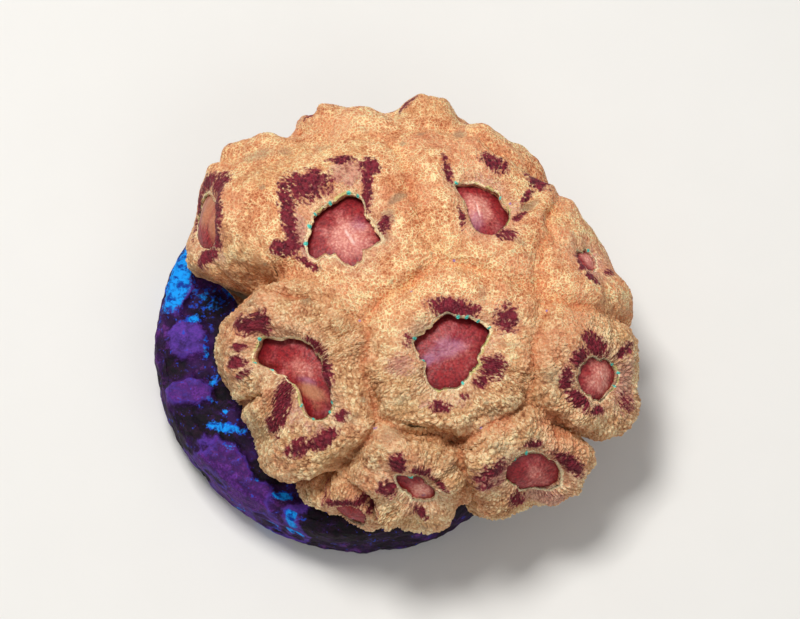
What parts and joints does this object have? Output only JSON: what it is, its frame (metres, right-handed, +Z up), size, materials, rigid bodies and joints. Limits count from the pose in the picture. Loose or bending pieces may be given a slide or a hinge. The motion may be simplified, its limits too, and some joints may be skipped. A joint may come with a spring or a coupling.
{
  "type": "fleshy large-polyp coral colony on a frag disc",
  "caption": "Low domed colony of thick fleshy orange-cream coral polyps with crimson mouth discs, grown over a round crusted disc; rests on its flat underside.",
  "frame": {"origin": "centre of the disc's flat underside", "axes": "+Z up through the colony; -Y is the front, where the disc's bare edge shows at the left; +X to the right"},
  "size_m": [0.0375, 0.0347, 0.0174],
  "materials": {
    "coral_flesh": "moist soft flesh over a stony skeleton, orange-cream with burgundy marks and crimson mouth discs",
    "disc_crust": "matt violet coralline crust with azure patches on a fired disc"
  },
  "bodies": {
    "root": {"coral_colony": "coral_flesh", "frag_disc": "disc_crust"}
  },
  "joints": []
}
